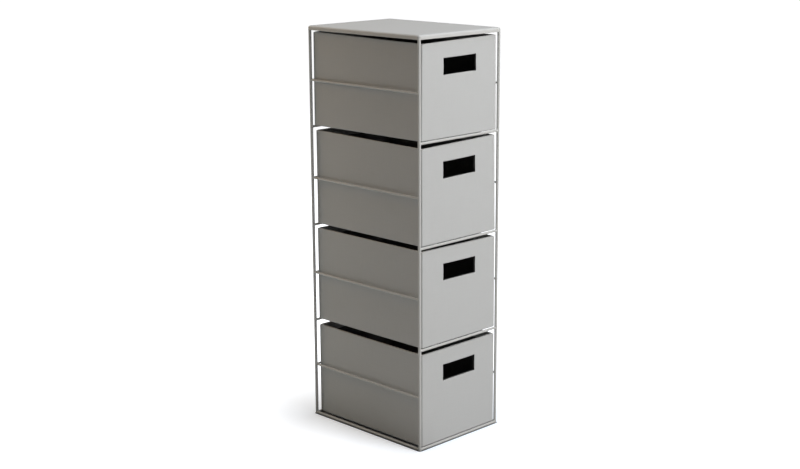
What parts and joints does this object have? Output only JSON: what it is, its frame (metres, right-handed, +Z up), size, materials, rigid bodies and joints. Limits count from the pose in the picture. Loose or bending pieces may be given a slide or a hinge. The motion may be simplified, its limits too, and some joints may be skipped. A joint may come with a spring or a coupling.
{
  "type": "fabric drawer dresser",
  "caption": "Tall narrow storage tower with a welded steel wire frame, a flat sheet top and stacked pull-out fabric drawers with cut-out hand holes.",
  "frame": {"origin": "on the floor under the middle of the frame, where the bottom wires rest", "axes": "+Z up the tower, -Y towards the drawer fronts, so the drawers open along -Y; +X to the right seen from the front, across the narrow side"},
  "size_m": [0.226, 0.308, 0.8025],
  "materials": {
    "coated_wire": "matte",
    "coated_sheet": "matte",
    "cover_fabric": "matte",
    "lining_fabric": "matte",
    "grey_board": "matte"
  },
  "bodies": {
    "frame": {"post_front_left": "coated_wire", "post_front_right": "coated_wire", "post_rear_left": "coated_wire", "post_rear_right": "coated_wire", "front_rail_1": "coated_wire", "back_rail_1": "coated_wire", "runner_left_1": "coated_wire", "runner_right_1": "coated_wire", "bottom_rail_left": "coated_wire", "bottom_rail_right": "coated_wire", "back_guide_1": "coated_wire", "guide_left_1": "coated_wire", "guide_right_1": "coated_wire", "front_rail_2": "coated_wire", "back_rail_2": "coated_wire", "runner_left_2": "coated_wire", "runner_right_2": "coated_wire", "back_guide_2": "coated_wire", "guide_left_2": "coated_wire", "guide_right_2": "coated_wire", "front_rail_3": "coated_wire", "back_rail_3": "coated_wire", "runner_left_3": "coated_wire", "runner_right_3": "coated_wire", "back_guide_3": "coated_wire", "guide_left_3": "coated_wire", "guide_right_3": "coated_wire", "front_rail_4": "coated_wire", "back_rail_4": "coated_wire", "runner_left_4": "coated_wire", "runner_right_4": "coated_wire", "back_guide_4": "coated_wire", "guide_left_4": "coated_wire", "guide_right_4": "coated_wire", "top_panel": "coated_sheet"},
    "drawer_1": {"drawer_1_cover": "cover_fabric", "drawer_1_front_board": "grey_board", "drawer_1_back_board": "grey_board", "drawer_1_side_boards": "grey_board", "drawer_1_base_board": "grey_board", "drawer_1_lining": "lining_fabric"},
    "drawer_2": {"drawer_2_cover": "cover_fabric", "drawer_2_front_board": "grey_board", "drawer_2_back_board": "grey_board", "drawer_2_side_boards": "grey_board", "drawer_2_base_board": "grey_board", "drawer_2_lining": "lining_fabric"},
    "drawer_3": {"drawer_3_cover": "cover_fabric", "drawer_3_front_board": "grey_board", "drawer_3_back_board": "grey_board", "drawer_3_side_boards": "grey_board", "drawer_3_base_board": "grey_board", "drawer_3_lining": "lining_fabric"},
    "drawer_4": {"drawer_4_cover": "cover_fabric", "drawer_4_front_board": "grey_board", "drawer_4_back_board": "grey_board", "drawer_4_side_boards": "grey_board", "drawer_4_base_board": "grey_board", "drawer_4_lining": "lining_fabric"}
  },
  "joints": [
    {"name": "drawer_1_slide", "type": "slide", "parent": "frame", "child": "drawer_1", "axis": [0, -1, 0], "range_m": [0, 0.2]},
    {"name": "drawer_2_slide", "type": "slide", "parent": "frame", "child": "drawer_2", "axis": [0, -1, 0], "range_m": [0, 0.2]},
    {"name": "drawer_3_slide", "type": "slide", "parent": "frame", "child": "drawer_3", "axis": [0, -1, 0], "range_m": [0, 0.2]},
    {"name": "drawer_4_slide", "type": "slide", "parent": "frame", "child": "drawer_4", "axis": [0, -1, 0], "range_m": [0, 0.2]}
  ]
}
